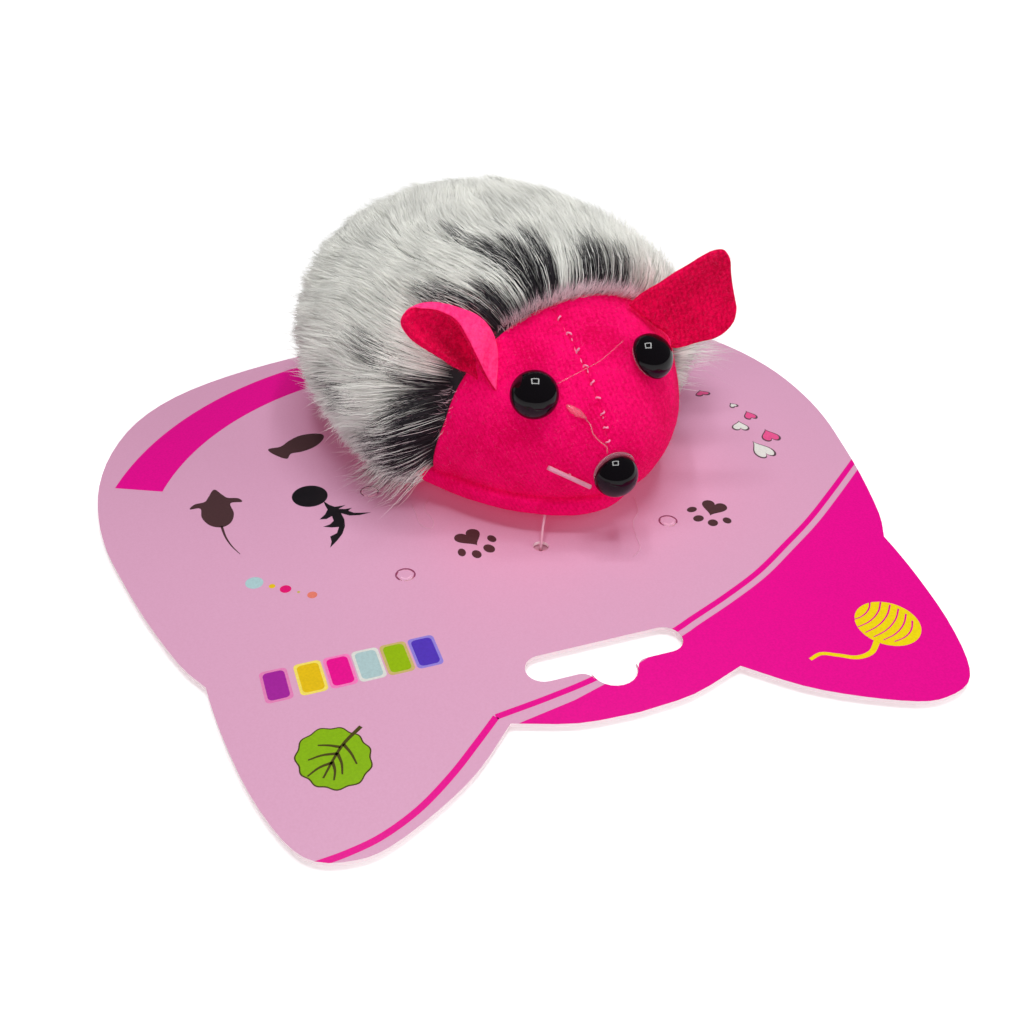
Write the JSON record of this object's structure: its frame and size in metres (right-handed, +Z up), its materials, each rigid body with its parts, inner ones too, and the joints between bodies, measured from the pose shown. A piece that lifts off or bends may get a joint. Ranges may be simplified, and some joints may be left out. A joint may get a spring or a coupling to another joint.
{
  "type": "plush mouse cat toy on a backing card",
  "caption": "Plush mouse cat toy with a felt face, long fur over the body and a felt tail, held by plastic tag pins on a die-cut cat-shaped backing card with a hang slot.",
  "frame": {"origin": "middle of the bounding box in plan, on the surface that the paddles of the tag pins stand on under the backing card", "axes": "+Z up from the card through the toy, -Y towards the card's hang slot and ears and the way the mouse's nose points apart from a turn of about 12 degrees, +Y towards the tail"},
  "size_m": [0.175, 0.2262, 0.0584],
  "materials": {
    "printed_card": "printed, satin",
    "pink_felt": "short-napped felt",
    "red_felt": "short-napped felt, shaded",
    "silver_fur": "long pile, silver with dark roots",
    "fibre_fill": "loose polyester fibre",
    "black_bead": "glossy",
    "clear_glue": "clear hot glue",
    "pin_plastic": "translucent nylon",
    "pale_thread": "pale pink sewing thread"
  },
  "bodies": {
    "toy_on_card": {"backing_card": "printed_card", "base_panel": "pink_felt", "face_panel_left": "pink_felt", "face_panel_right": "pink_felt", "fur_cover": "silver_fur", "head_stuffing": "fibre_fill", "body_stuffing": "fibre_fill", "eye_left": "black_bead", "eye_right": "black_bead", "nose": "black_bead", "eye_glue_left": "clear_glue", "eye_glue_right": "clear_glue", "nose_glue": "clear_glue", "face_seam_thread": "pale_thread", "collar_seam_thread": "pale_thread", "front_tag_pin": "pin_plastic", "rear_tag_pin_left": "pin_plastic", "rear_tag_pin_right": "pin_plastic"},
    "left_ear_flap": {"ear_left": "red_felt"},
    "right_ear_flap": {"ear_right": "red_felt"},
    "tail_strip": {"tail": "red_felt"}
  },
  "joints": [
    {"name": "ear_left_hinge", "type": "hinge", "parent": "toy_on_card", "child": "left_ear_flap", "pos_m": [0.02924, -0.02612, 0.04111], "axis": [0.7262, -0.338, -0.5987], "range_deg": [-40, 60], "stiffness_Nm_per_rad": 0.004},
    {"name": "ear_right_hinge", "type": "hinge", "parent": "toy_on_card", "child": "right_ear_flap", "pos_m": [-0.00542, -0.03195, 0.0379], "axis": [-0.44, -0.5189, -0.7329], "range_deg": [-50, 30], "stiffness_Nm_per_rad": 0.004},
    {"name": "tail_hinge", "type": "hinge", "parent": "toy_on_card", "child": "tail_strip", "pos_m": [-0.0018, 0.04353, 0.0069], "axis": [0.9796, 0.2011, 0], "range_deg": [-10, 45]}
  ]
}
